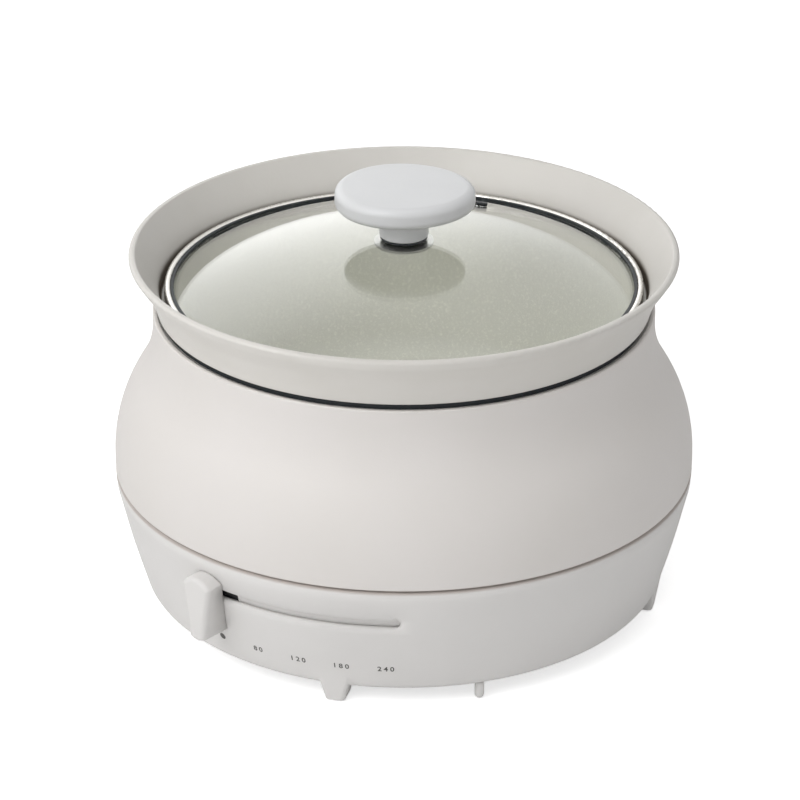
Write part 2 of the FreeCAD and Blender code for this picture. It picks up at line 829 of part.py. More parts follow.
# One outline of the slider's knob, across its radius
def knob_outline(radius, top_width, waist_width, foot_width, top, bottom):
    rise = top_width / 4
    drop = foot_width / 6
    middle = (top + bottom) / 2
    def spot(y, z):
        return Vector(radius, y, z)
    arcs = [
        Part.Arc(spot(-top_width / 2, top - rise), spot(0, top), spot(top_width / 2, top - rise)),
        Part.Arc(spot(top_width / 2, top - rise), spot(waist_width / 2, middle), spot(foot_width / 2, bottom + drop)),
        Part.Arc(spot(foot_width / 2, bottom + drop), spot(0, bottom), spot(-foot_width / 2, bottom + drop)),
        Part.Arc(spot(-foot_width / 2, bottom + drop), spot(-waist_width / 2, middle),
                 spot(-top_width / 2, top - rise)),
    ]
    return Part.Wire([arc.toShape() for arc in arcs])


# Slider's knob: wide where it meets the wall, pinched in towards its front, with a stem through the slot
def slider_knob():
    back_waist = (knob_back_width + knob_back_foot_width) / 2 + 0.4
    body = Part.makeLoft([
        knob_outline(tub_foot_radius, knob_back_width, back_waist, knob_back_foot_width, knob_top, knob_bottom),
        knob_outline(knob_front_radius, knob_front_width, knob_front_waist, knob_front_foot_width,
                     knob_top - knob_front_drop, knob_bottom + knob_front_drop / 2),
    ], True, True)
    front = [edge for edge in body.Edges if edge.BoundBox.XMin > knob_front_radius - 0.1]
    body = body.makeFillet(knob_edge_round, front)
    clear = tub_solid(slide_gap, tub_bottom, tub_top + 2)
    body = turned(body, slider_azimuth).cut(clear)
    stem = box(tub_radius(slot_height) - tub_wall + screw_gap, tub_radius(slot_height) + 5,
               -stem_width / 2, stem_width / 2, slot_height - stem_height / 2, slot_height + stem_height / 2)
    return body.fuse(turned(stem, slider_azimuth)).cut(slider_screw_bore())


def slider_screw_bore():
    seat = slider_screw_seat()
    bore = Part.makeCylinder(slider_screw_radius + screw_gap, knob_front_radius - slider_screw_cover + screw_gap - seat,
                             Vector(seat, 0, slot_height), Vector(1, 0, 0))
    return turned(bore, slider_azimuth)


# Curved guide rail under the sector, on posts that stand on the tub's floor ring
def carrier_guide():
    inner, outer = rail_radii()
    floor_inner = sector_root_radius
    floor_outer = sector_outer_radius
    sweep = rail_end - rail_start
    floor = swept_arc([(floor_inner, rail_top - rail_floor_thickness), (floor_outer, rail_top - rail_floor_thickness),
                       (floor_outer, rail_top), (floor_inner, rail_top)], rail_start, sweep)
    tongue = swept_arc([(inner, rail_top - 1), (outer, rail_top - 1),
                        (outer, rail_top + rail_height), (inner, rail_top + rail_height)], rail_start, sweep)
    guide = floor.fuse(tongue)
    for azimuth in rail_post_azimuths:
        post = prism(floor_inner + 0.5, floor_outer - 0.5, -rail_post_width / 2, rail_post_width / 2,
                     tub_bottom + tub_floor_thickness, rail_top - 1, 1)
        guide = guide.fuse(turned(post, azimuth))
    return guide.removeSplitter()


# Pinion on the thermostat's spindle
def drive_pinion():
    width = math.pi * gear_module / 2 - tooth_backlash / 2
    tip = pinion_pitch_radius + gear_module
    root = pinion_pitch_radius - 1.25 * gear_module
    base = pinion_pitch_radius * math.cos(math.radians(pressure_angle))
    edges = []
    first_root = None
    last_root = None
    for i in range(pinion_teeth):
        azimuth = -90 + i * 360.0 / pinion_teeth
        rise, a, b = flank(origin, pinion_pitch_radius, width, azimuth, -1, base, tip)
        fall, c, d = flank(origin, pinion_pitch_radius, width, azimuth, 1, tip, base)
        half = tooth_half_angle(pinion_pitch_radius, width, base)
        foot_a = polar(root, azimuth - half)
        foot_d = polar(root, azimuth + half)
        edges += [Part.makeLine(foot_a, a), rise, Part.makeLine(b, c), fall, Part.makeLine(d, foot_d)]
        if last_root is not None:
            edges.append(Part.makeLine(last_root, foot_a))
        else:
            first_root = foot_a
        last_root = foot_d
    edges.append(Part.makeLine(last_root, first_root))
    gear = Part.Face(Part.Wire(Part.sortEdges(edges)[0])).extrude(up * pinion_thickness)
    gear = gear.cut(Part.makeCylinder(spindle_radius + running_gap, pinion_thickness))
    gear.translate(spindle_centre + up * pinion_bottom)
    return gear


def thermostat_top():
    return cover_top + bracket_thickness + thermostat_height


# Thermostat's spindle, with a collar under the pinion
def thermostat_spindle():
    bottom = thermostat_top() - 12
    top = pinion_bottom + pinion_thickness + spindle_above_pinion
    rod = Part.makeCylinder(spindle_radius, top - bottom, spindle_centre + up * bottom)
    collar_bottom_height = thermostat_top() + bush_height + joint_gap
    collar = Part.makeCylinder(bush_radius, pinion_bottom - screw_gap - collar_bottom_height,
                               spindle_centre + up * collar_bottom_height)
    return rod.fuse(collar)


def thermostat_body():
    bottom = cover_top + bracket_thickness
    body = prism(-thermostat_width / 2, thermostat_width / 2, -thermostat_depth / 2, thermostat_depth / 2,
                 bottom, thermostat_top(), thermostat_corner)
    bush = Part.makeCylinder(bush_radius, bush_height, Vector(0, 0, thermostat_top()))
    bore = Part.makeCylinder(spindle_radius + running_gap, bush_height + 12 + joint_gap,
                             Vector(0, 0, thermostat_top() - 12 - joint_gap))
    body = body.fuse(bush).cut(bore)
    body.translate(spindle_centre)
    return body


# Steel bracket between the thermostat and the bottom cover
def thermostat_bracket():
    half = thermostat_width / 2 + joint_gap
    depth = thermostat_depth / 2
    plate = box(-bracket_width / 2, bracket_width / 2, -depth, depth, cover_top, cover_top + bracket_thickness)
    for side in (-1, 1):
        inner = side * half
        outer = side * (half + bracket_thickness)
        ear = box(min(inner, outer), max(inner, outer), -depth, depth, cover_top, cover_top + bracket_ear_height)
        plate = plate.fuse(ear)
    plate.translate(spindle_centre)
    return plate


# Inlet housing: a hood outside the wall and a body through its window, with a socket for a flat plug
def power_inlet():
    hood = lying_prism(tub_foot_radius, inlet_reach, -inlet_width / 2, inlet_width / 2,
                       inlet_height - inlet_tall / 2, inlet_height + inlet_tall / 2, inlet_corner)
    front = [edge for edge in hood.Edges if edge.BoundBox.XMin > inlet_reach - 0.1]
    hood = hood.makeFillet(1.5, front)
    hood = turned(hood, inlet_azimuth).cut(tub_solid(joint_gap / 2, tub_bottom, tub_top))
    socket_floor = inlet_reach - socket_depth
    body = lying_prism(socket_floor - inlet_body_depth, inlet_reach - 4,
                       -inlet_body_width / 2, inlet_body_width / 2,
                       inlet_height - inlet_body_tall / 2, inlet_height + inlet_body_tall / 2, inlet_corner / 2)
    socket = lying_prism(socket_floor, inlet_reach + 1, -socket_width / 2, socket_width / 2,
                         inlet_height - socket_tall / 2, inlet_height + socket_tall / 2, socket_corner)
    whole = hood.fuse(turned(body, inlet_azimuth)).cut(turned(socket, inlet_azimuth))
    for side in (-1, 1):
        hole = Part.makeCylinder(contact_tail_radius + screw_gap, inlet_body_depth + 2,
                                 Vector(socket_floor - inlet_body_depth - 1, side * contact_spacing / 2, inlet_height),
                                 Vector(1, 0, 0))
        whole = whole.cut(turned(hole, inlet_azimuth))
    return whole


# Contact pin in the socket, with a thinner tail through the housing
def inlet_contact(side):
    socket_floor = inlet_reach - socket_depth
    spot = Vector(socket_floor, side * contact_spacing / 2, inlet_height)
    pin = Part.makeCylinder(contact_radius, contact_reach, spot, Vector(1, 0, 0))
    tip = [edge for edge in pin.Edges if edge.BoundBox.XMin > socket_floor + contact_reach - 0.1]
    pin = pin.makeFillet(contact_tip_round, tip)
    tail = Part.makeCylinder(contact_tail_radius, contact_tail, spot - Vector(contact_tail, 0, 0), Vector(1, 0, 0))
    return turned(pin.fuse(tail), inlet_azimuth)


# Steel keeper plate that the plug's magnet holds to
def inlet_keeper(side):
    socket_floor = inlet_reach - socket_depth
    centre = side * (socket_width / 2 - keeper_width / 2 - slide_gap)
    plate = box(socket_floor, socket_floor + keeper_thickness, centre - keeper_width / 2, centre + keeper_width / 2,
                inlet_height - keeper_tall / 2, inlet_height + keeper_tall / 2)
    return turned(plate, inlet_azimuth)


# Ceramic terminal block behind the inlet
def terminal_block():
    block = prism(terminal_radius, terminal_radius + terminal_depth, -terminal_width / 2, terminal_width / 2,
                  cover_top, cover_top + terminal_tall, 1.5)
    for side in (-1, 1):
        hole = Part.makeCylinder(2.6, 6, Vector(terminal_radius + terminal_depth / 2, side * terminal_width / 4,
                                                cover_top + terminal_tall - 6))
        block = block.cut(hole)
    return turned(block, inlet_azimuth)


# The pot: floor, tapered wall, ledge for the lid, collar and flared brim
def inner_pot():
    return revolved([
        (0, pot_bottom),
        (pot_foot_radius, pot_bottom, pot_foot_round),
        (pot_neck_radius, collar_bottom, 0.4),
        (collar_radius, collar_bottom, collar_round),
        (flare_start_radius, flare_start_height, flare_round),
        (brim_radius, brim_top, brim_round),
        (brim_radius - brim_wall, brim_top, brim_round),
        (flare_start_radius - brim_wall, flare_start_height, flare_round - brim_wall),
        (ledge_outer_radius, ledge_height, 0.8),
        (pot_neck_radius - pot_wall, ledge_height, 1.2),
        (pot_foot_radius - pot_wall, pot_bottom + pot_floor, pot_foot_round - pot_wall),
        (0, pot_bottom + pot_floor),
    ])


# Radius of the glass dome's outer sphere, and the height of its centre
def dome():
    radius = (glass_radius ** 2 + glass_rise ** 2) / (2 * glass_rise)
    return radius, glass_apex - radius


def dome_height(radius, at):
    sphere, centre = dome()
    return centre + math.sqrt((sphere - radius) ** 2 - at ** 2)


# Domed glass with a hole for the knob's screw and one for the steam vent
def lid_glass():
    sphere, centre = dome()
    def spot(depth, at):
        return Vector(at, 0, dome_height(depth, at))
    outer = Part.Arc(spot(0, 0), spot(0, glass_radius / 2), spot(0, glass_radius)).toShape()
    inner = Part.Arc(spot(glass_thickness, 0), spot(glass_thickness, glass_radius / 2),
                     spot(glass_thickness, glass_radius)).toShape()
    edge = Part.makeLine(spot(0, glass_radius), spot(glass_thickness, glass_radius))
    axis = Part.makeLine(spot(glass_thickness, 0), spot(0, 0))
    glass = Part.Face(Part.Wire(Part.sortEdges([outer, edge, inner, axis])[0])).revolve(origin, up, 360)
    glass = glass.cut(Part.makeCylinder(glass_hole_radius, 20, Vector(0, 0, glass_apex - 10)))
    return glass.cut(on_dome(Part.makeCylinder(grommet_stem_radius + screw_gap, 20, Vector(0, 0, -10))))


# Stands a shape, made round the Z axis, on the dome at the steam vent
def on_dome(shape):
    sphere, centre = dome()
    lean = math.degrees(math.asin(vent_radius / sphere))
    copy = shape.copy()
    copy.rotate(origin, Vector(0, 1, 0), lean)
    copy.translate(Vector(vent_radius, 0, dome_height(0, vent_radius)))
    return turned(copy, vent_azimuth)


# Steam vent's grommet, with a flange on each face of the glass
def vent_grommet():
    top = Part.makeCylinder(grommet_flange_radius, grommet_flange_height, Vector(0, 0, seal_inset))
    stem = Part.makeCylinder(grommet_stem_radius, glass_thickness + 2 * seal_inset,
                             Vector(0, 0, -glass_thickness - seal_inset))
    under = Part.makeCylinder(grommet_flange_radius, grommet_flange_height,
                              Vector(0, 0, -glass_thickness - seal_inset - grommet_flange_height))
    whole = top.fuse(stem).fuse(under)
    return on_dome(whole.cut(Part.makeCylinder(grommet_hole_radius, 20, Vector(0, 0, -10))))


# Rolled steel band round the glass, with a lip under its edge
def lid_band():
    return revolved([
        (band_inner_radius - band_lip_width, band_bottom),
        (band_outer_radius, band_bottom, 0.6),
        (band_outer_radius, band_top, band_round),
        (band_inner_radius, band_top, band_round),
        (band_inner_radius, band_bottom + band_lip_thickness),
        (band_inner_radius - band_lip_width, band_bottom + band_lip_thickness),
    ])


# Dark seal between the glass and the band
def lid_seal():
    outer = band_inner_radius - seal_inset
    return ring(outer - seal_width, outer, glass_bottom_edge, band_top - seal_drop)


def knob_washer():
    return ring(glass_hole_radius, washer_radius, washer_bottom, washer_bottom + washer_thickness - seal_inset)


# Outline of the lid's knob: a circle drawn out a little sideways and into three lobes
def pebble_wire(height):
    points = []
    for i in range(12):
        azimuth = i * 30.0
        lobe = knob_lobe * math.cos(math.radians(3 * (azimuth - knob_lobe_azimuth)))
        oval = knob_oval * math.cos(math.radians(2 * (azimuth - knob_oval_azimuth)))
        points.append(polar(knob_radius * (1 + lobe + oval), azimuth, height))
    curve = Part.BSplineCurve()
    curve.interpolate(points, PeriodicFlag=True)
    return Part.Wire(curve.toShape())


# Pebble-shaped knob with its neck
def lid_knob():
    pebble = Part.Face(pebble_wire(knob_bottom_height)).extrude(up * knob_thickness)
    top_edge = [edge for edge in pebble.Edges if edge.BoundBox.ZMin > knob_bottom_height + knob_thickness - 0.1]
    low_edge = [edge for edge in pebble.Edges if edge.BoundBox.ZMax < knob_bottom_height + 0.1]
    pebble = pebble.makeFillet(knob_top_round, top_edge)
    low_edge = [edge for edge in pebble.Edges if edge.BoundBox.ZMax < knob_bottom_height + 0.1]
    pebble = pebble.makeFillet(knob_underside_round, low_edge)
    neck = revolved([
        (0, neck_bottom),
        (neck_radius, neck_bottom, 0.8),
        (neck_radius, neck_bottom + neck_height / 2, 12),
        (neck_top_radius, knob_bottom_height + 1),
        (0, knob_bottom_height + 1),
    ])
    bore = Part.makeCylinder(lid_screw_radius + screw_gap, lid_screw_depth, Vector(0, 0, neck_bottom))
    return pebble.fuse(neck).cut(bore)


def backing_top():
    return dome_height(glass_thickness, backing_radius) - seal_inset


# Steel backing washer under the glass
def knob_backing():
    return ring(glass_hole_radius, backing_radius, backing_top() - backing_thickness, backing_top())


def knob_screw():
    head_top = backing_top() - backing_thickness
    shank_top = neck_bottom + lid_screw_depth - 0.5
    shank = Part.makeCylinder(lid_screw_radius, shank_top - head_top, Vector(0, 0, head_top))
    head = Part.makeCylinder(lid_screw_head_radius, lid_screw_head_height,
                             Vector(0, 0, head_top - lid_screw_head_height))
    rim = [edge for edge in head.Edges if edge.BoundBox.ZMax < head_top - lid_screw_head_height + 0.1]
    return shank.fuse(head.makeFillet(1.0, rim))


# Every piece by its name
def pieces():
    parts = {
        "base_tub": base_tub(),
        "bottom_cover": bottom_cover(),
        "cover_screws": cover_screws(),
        "upper_casing": upper_casing(),
        "seat_ring": seat_ring(),
        "heat_shield": heat_shield(),
        "heating_element": heating_element(),
        "thermal_fuse": thermal_fuse(),
        "sensor_housing": sensor_housing(),
        "sensor_spring": sensor_spring(),
        "sensor_cap": sensor_cap(),
        "thermostat_body": thermostat_body(),
        "thermostat_bracket": thermostat_bracket(),
        "thermostat_spindle": thermostat_spindle(),
        "drive_pinion": drive_pinion(),
        "carrier_guide": carrier_guide(),
        "slide_carrier": slide_carrier(),
        "slot_shutter": slot_shutter(),
        "slider_knob": slider_knob(),
        "slider_screw": slider_screw(),
        "power_inlet": power_inlet(),
        "terminal_block": terminal_block(),
        "inner_pot": inner_pot(),
        "lid_glass": lid_glass(),
        "lid_band": lid_band(),
        "lid_seal": lid_seal(),
        "lid_knob": lid_knob(),
        "knob_washer": knob_washer(),
        "knob_backing": knob_backing(),
        "knob_screw": knob_screw(),
        "vent_grommet": vent_grommet(),
    }
    for i, azimuth in enumerate(leg_azimuths()):
        parts[f"foot_pad_{i + 1}"] = turned(pad(), azimuth)
    for i, azimuth in enumerate(clip_azimuths()):
        parts[f"element_clip_{i + 1}"] = element_clip(azimuth)
    for i, side in enumerate((-1, 1)):
        parts[f"inlet_contact_{i + 1}"] = inlet_contact(side)
        parts[f"inlet_keeper_{i + 1}"] = inlet_keeper(side)
    return parts


os.makedirs("parts", exist_ok=True)
for name, shape in pieces().items():
    solids = shape.Solids
    print(name, "solids", len(solids), "valid", shape.isValid(), "volume", round(shape.Volume, 1))
    shape.exportStep(f"parts/{name}.step")
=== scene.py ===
import json
import math

import bmesh
import bpy
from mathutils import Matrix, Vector
from mathutils.bvhtree import BVHTree

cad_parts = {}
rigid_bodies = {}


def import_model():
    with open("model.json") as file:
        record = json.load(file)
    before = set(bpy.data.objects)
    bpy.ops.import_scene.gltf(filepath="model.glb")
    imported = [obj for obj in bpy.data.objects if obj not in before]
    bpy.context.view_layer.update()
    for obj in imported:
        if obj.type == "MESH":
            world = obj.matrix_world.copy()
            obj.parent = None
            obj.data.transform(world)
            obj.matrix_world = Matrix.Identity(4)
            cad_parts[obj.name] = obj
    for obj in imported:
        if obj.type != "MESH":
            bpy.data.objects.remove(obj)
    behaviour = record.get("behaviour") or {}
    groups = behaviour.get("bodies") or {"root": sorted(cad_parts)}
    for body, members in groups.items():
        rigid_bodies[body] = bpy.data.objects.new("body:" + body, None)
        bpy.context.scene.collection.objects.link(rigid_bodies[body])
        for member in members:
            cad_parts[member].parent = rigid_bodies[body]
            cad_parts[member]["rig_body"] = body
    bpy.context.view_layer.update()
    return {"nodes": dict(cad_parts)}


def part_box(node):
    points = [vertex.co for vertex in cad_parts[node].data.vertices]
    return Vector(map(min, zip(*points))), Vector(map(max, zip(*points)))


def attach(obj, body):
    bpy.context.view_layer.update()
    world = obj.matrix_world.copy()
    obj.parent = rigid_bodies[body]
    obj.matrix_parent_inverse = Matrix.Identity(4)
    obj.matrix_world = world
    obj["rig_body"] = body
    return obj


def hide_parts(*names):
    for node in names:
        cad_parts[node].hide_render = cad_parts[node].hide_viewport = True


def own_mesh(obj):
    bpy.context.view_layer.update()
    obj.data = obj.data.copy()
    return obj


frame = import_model()
nodes = frame["nodes"]
scene = bpy.context.scene
mm = 0.001

# The camera, fitted to the outlines of the brim, belly, seam and feet
cameraView = {
    "azimuth": 22.2,
    "elevation": 25.7,
    "distance": 1.6677,
    "aim": (-0.00173, -0.00071, 0.0968),
    "lens": 155.14,
    "sensor": 36.0,
    "near": 0.05,
    "far": 60.0,
}


# Unit vector from the object towards a place seen from an azimuth and elevation
def towards(azimuth, elevation):
    a, e = math.radians(azimuth), math.radians(elevation)
    return Vector((math.sin(a) * math.cos(e), -math.cos(a) * math.cos(e), math.sin(e)))


def makeCamera():
    data = bpy.data.cameras.new("photoCamera")
    data.lens = cameraView["lens"]
    data.sensor_width = cameraView["sensor"]
    data.clip_start = cameraView["near"]
    data.clip_end = cameraView["far"]
    camera = bpy.data.objects.new("photoCamera", data)
    scene.collection.objects.link(camera)
    back = towards(cameraView["azimuth"], cameraView["elevation"])
    camera.location = Vector(cameraView["aim"]) + back * cameraView["distance"]
    camera.rotation_mode = "QUATERNION"
    camera.rotation_quaternion = (-back).to_track_quat("-Z", "Y")
    scene.camera = camera


makeCamera()
scene.view_settings.view_transform = "Standard"
print("camera ready")


# sRGB hex code to the linear colour that shaders take, by the curve of the sRGB standard
def hexColour(code):
    def linear(part):
        value = int(part, 16) / 255.0
        return value / 12.92 if value <= 0.04045 else ((value + 0.055) / 1.055) ** 2.4
    return (linear(code[1:3]), linear(code[3:5]), linear(code[5:7]), 1.0)


# A node with its settings, and each input given a value or linked to another node's output
def addNode(tree, kind, inputs=None, **settings):
    node = tree.nodes.new(kind)
    for name, value in settings.items():
        setattr(node, name, value)
    for name, value in (inputs or {}).items():
        if isinstance(value, bpy.types.NodeSocket):
            tree.links.new(value, node.inputs[name])
        else:
            node.inputs[name].default_value = value
    return node


# Where most of Blender's noise lies between nought and one
noiseRange = {"low": 0.25, "high": 0.75}


# A noise pattern whose grain is given in millimetres, spread between two values
def grain(tree, place, pattern):
    noise = addNode(tree, "ShaderNodeTexNoise", {
        "Vector": place, "Scale": 1.0 / (pattern["size"] * mm), "Detail": pattern.get("detail", 2.0),
    })
    return addNode(tree, "ShaderNodeMapRange", {
        "Value": noise.outputs["Fac"], "From Min": noiseRange["low"], "From Max": noiseRange["high"],
        "To Min": pattern.get("low", 0.0), "To Max": pattern.get("high", 1.0),
    }).outputs["Result"]


# The joint between the casing and the base, where a brown line of painted shade stands in for the shade in
# the gap
seamShade = {
    "height": 67.2 * mm,
    "halfWidth": 1.9 * mm,
    "paintedShade": "#a18f84",
    "strength": 0.62,
}


# Painted shade, strongest on the joint between casing and base, nought a little above and below it
def seamShadeMask(tree, place):
    axes = addNode(tree, "ShaderNodeSeparateXYZ", {"Vector": place})
    away = addNode(tree, "ShaderNodeMath", {0: axes.outputs["Z"], 1: seamShade["height"]},
                   operation="SUBTRACT").outputs[0]
    away = addNode(tree, "ShaderNodeMath", {0: away}, operation="ABSOLUTE").outputs[0]
    return addNode(tree, "ShaderNodeMapRange", {
        "Value": away, "From Min": seamShade["halfWidth"], "From Max": 0.0, "To Max": seamShade["strength"],
    }, interpolation_type="SMOOTHSTEP").outputs["Result"]


# Painted shade down in the pot's groove beside the lid's ring: a dark brown colour stands in for the shade
# there
grooveShade = {
    "reach": 117.6 * mm,
    "floor": 153.4 * mm,
    "bottom": 157.0 * mm,
    "top": 161.0 * mm,
    "shadeColour": "#54493c",
}


# Painted shade mask: one inside the groove beside the lid's ring, nought everywhere else
def grooveShadeMask(tree, place):
    axes = addNode(tree, "ShaderNodeSeparateXYZ", {"Vector": place})
    flat = addNode(tree, "ShaderNodeCombineXYZ", {"X": axes.outputs["X"], "Y": axes.outputs["Y"]})
    radius = addNode(tree, "ShaderNodeVectorMath", {0: flat.outputs[0]}, operation="LENGTH").outputs["Value"]
    inside = addNode(tree, "ShaderNodeMath", {0: radius, 1: grooveShade["reach"]},
                     operation="LESS_THAN").outputs[0]
    fade = addNode(tree, "ShaderNodeMapRange", {
        "Value": axes.outputs["Z"], "From Min": grooveShade["top"], "From Max": grooveShade["bottom"],
    }, interpolation_type="SMOOTHSTEP").outputs["Result"]
    above = addNode(tree, "ShaderNodeMath", {0: axes.outputs["Z"], 1: grooveShade["floor"]},
                    operation="GREATER_THAN").outputs[0]
    inside = addNode(tree, "ShaderNodeMath", {0: inside, 1: above}, operation="MULTIPLY").outputs[0]
    return addNode(tree, "ShaderNodeMath", {0: inside, 1: fade}, operation="MULTIPLY").outputs[0]


# One entry for each finish, with sizes in millimetres. The drift goes between the two colours, the gloss is
# the roughness, the relief is the bump, and painted shade covers the colour where its mask says so
finishForms = {
    # Moulded polypropylene, warm white: a fine spark-eroded grain that only softens the shine
    "housing": {
        "name": "mouldedPolypropyleneWarmWhite",
        "colours": ("#dcd8d5", "#d9d5d1"),
        "drift": {"size": 60, "detail": 1.0},
        # Painted shade darkens the joint with the base
        "paintedShade": (seamShadeMask, seamShade["paintedShade"]),
        "gloss": {"size": 4, "low": 0.47, "high": 0.55},
        "relief": {"size": 0.9, "depth": 0.03, "strength": 0.5},
        "sockets": {"IOR": 1.49},
    },
    # The same plastic on the base, a shade cooler and with a coarser grain that shows close up
    "base": {
        "name": "mouldedPolypropyleneCoolWhite",
        "colours": ("#dbd9d7", "#d7d5d3"),
        "drift": {"size": 50, "detail": 1.0},
        # Painted shade darkens the joint with the casing
        "paintedShade": (seamShadeMask, seamShade["paintedShade"]),
        "gloss": {"size": 3, "low": 0.50, "high": 0.60},
        "relief": {"size": 0.8, "depth": 0.05, "strength": 0.6},
        "sockets": {"IOR": 1.49},
    },
    # Ceramic coat sprayed on die-cast aluminium: faint orange peel, and dark brown painted shade in the
    # groove
    "coat": {
        "name": "sprayedCeramicCoat",
        "colours": ("#d7d4cf", "#d3d0ca"),
        "drift": {"size": 30},
        "paintedShade": (grooveShadeMask, grooveShade["shadeColour"]),
        "gloss": {"size": 2, "low": 0.38, "high": 0.46},
        "relief": {"size": 1.6, "detail": 1.0, "depth": 0.04, "strength": 0.5},
        "sockets": {"IOR": 1.5},
    },
    # The cooking surface under the lid: a pale non-stick coat with fine mineral flecks
    "cooking": {
        "name": "sprayedNonStickGrey",
        "colours": ("#d0cfc8", "#e0dfd7"),
        "drift": {"size": 1.2, "low": -1.2, "detail": 1.0},
        "gloss": {"size": 2, "low": 0.32, "high": 0.42},
        "relief": {"size": 1.4, "detail": 1.0, "depth": 0.03, "strength": 0.4},
        "sockets": {"IOR": 1.4},
    },
    # Urea moulding of the lid's knob: cooler white, satin, very smooth
    "knob": {
        "name": "mouldedUreaSatinWhite",
        "colours": ("#d9dadb", "#d6d7d8"),
        "drift": {"size": 20, "detail": 1.0},
        "gloss": {"size": 2, "low": 0.34, "high": 0.42},
        "relief": {"size": 0.7, "depth": 0.02, "strength": 0.4},
        "sockets": {"IOR": 1.52},
    },
    # Tempered soda-lime glass: clear, faintly smeared, and light for the shadows passes straight through
    "glass": {
        "name": "temperedSodaLimeGlass",
        "gloss": {"size": 30, "high": 0.03},
        "sockets": {"Base Color": hexColour("#f7f8f5"), "IOR": 1.5, "Transmission Weight": 1.0},
        "shadow": "#e6e8e2",
    },
    # Stainless steel of the lid's ring: bright, buffed to a soft shine
    "polished": {
        "name": "polishedStainlessSteel",
        "colours": ("#e4e2dd", "#d9d7d1"),
        "drift": {"size": 10},
        "gloss": {"size": 1.5, "low": 0.24, "high": 0.34},
        "sockets": {"Metallic": 1.0},
    },
    # Rolled steel sheet and zinc-plated fasteners: dull, with a long rolling grain
    "steel": {
        "name": "rolledZincPlatedSteel",
        "stretch": (1.0, 12.0, 12.0),  # sizes are along the grain, which is 12 times finer across
        "colours": ("#b9bab9", "#a3a4a4"),
        "drift": {"size": 12, "detail": 3.0},
        "gloss": {"size": 6, "low": 0.30, "high": 0.45},
        "sockets": {"Metallic": 1.0},
    },
    # Pressed aluminium sheet of the heat shield: bright, with faint drawing rings
    "shield": {
        "name": "pressedAluminiumSheet",
        "colours": ("#c9c9c7", "#b9b9b8"),
        "rings": {"Scale": 60.0, "Distortion": 1.5},  # about 5 mm apart
        "gloss": {"size": 4, "low": 0.28, "high": 0.40},
        "sockets": {"Metallic": 1.0},
    },
    # Sheathed element tube: steel darkened by heat, straw to blue-grey
    "tube": {
        "name": "heatDarkenedSteelTube",
        "colours": ("#5a564f", "#3b3a3e"),
        "drift": {"size": 18, "detail": 3.0},
        "gloss": {"size": 3, "low": 0.45, "high": 0.65},
        "sockets": {"Metallic": 0.8},
    },
    # Silicone rubber of the washer, seat and seals: blue-black, soft sheen
    "silicone": {
        "name": "mouldedSiliconeBlack",
        "colours": ("#171c20", "#20262a"),
        "drift": {"size": 5},
        "gloss": {"size": 1.2, "low": 0.45, "high": 0.6},
        "relief": {"size": 0.6, "depth": 0.03, "strength": 0.4},
    },
    # Grey rubber of the foot pads, with a fine grip
    "rubber": {
        "name": "mouldedRubberGrey",
        "colours": ("#a9a6a1", "#9c9994"),
        "drift": {"size": 3},
        "gloss": {"size": 1, "low": 0.6, "high": 0.8},
        "relief": {"size": 0.5, "depth": 0.05, "strength": 0.6},
    },
    # Phenolic moulding of the inlet, thermostat and slide: black with a dull skin
    "phenolic": {
        "name": "mouldedPhenolicBlack",
        "colours": ("#18181a", "#202022"),
        "drift": {"size": 4},
        "gloss": {"size": 1.2, "low": 0.38, "high": 0.52},
        "relief": {"size": 0.7, "depth": 0.04, "strength": 0.5},
    },
    # Natural acetal of the pinion and guide rail: milky, slippery
    "acetal": {
        "name": "machinedAcetalNatural",
        "colours": ("#e4e1d6", "#dad7ca"),
        "drift": {"size": 8},
        "gloss": {"size": 2, "low": 0.28, "high": 0.38},
        "sockets": {"Subsurface Weight": 0.05},
    },
    # Steatite of the terminal block and fuse: unglazed, chalky
    "steatite": {
        "name": "pressedSteatite",
        "colours": ("#dfdacd", "#cfcabd"),
        "drift": {"size": 4, "detail": 3.0},
        "gloss": {"size": 1, "low": 0.7, "high": 0.85},
        "relief": {"size": 0.8, "depth": 0.06, "strength": 0.6},
    },
    # Turned brass of the inlet's contact pins
    "brass": {
        "name": "turnedBrass",
        "colours": ("#d9b871", "#c9a560"),
        "drift": {"size": 2},
        "gloss": {"size": 1, "low": 0.2, "high": 0.3},
        "sockets": {"Metallic": 1.0},
    },
    # Pad-printed ink of the scale: flat grey, worn a little thin
    "ink": {
        "name": "padPrintedInkGrey",
        "colours": ("#4a4846", "#5c5a57"),
        "drift": {"size": 0.6},
        "sockets": {"Roughness": 0.6},
    },
}


# The share of the second colour: noise, or rings round the axis where the form has them
def colourShare(tree, place, form):
    if "rings" in form:
        return addNode(tree, "ShaderNodeTexWave", {"Vector": place, **form["rings"]},
                       wave_type="RINGS", rings_direction="Z").outputs["Fac"]
    return grain(tree, place, form["drift"])


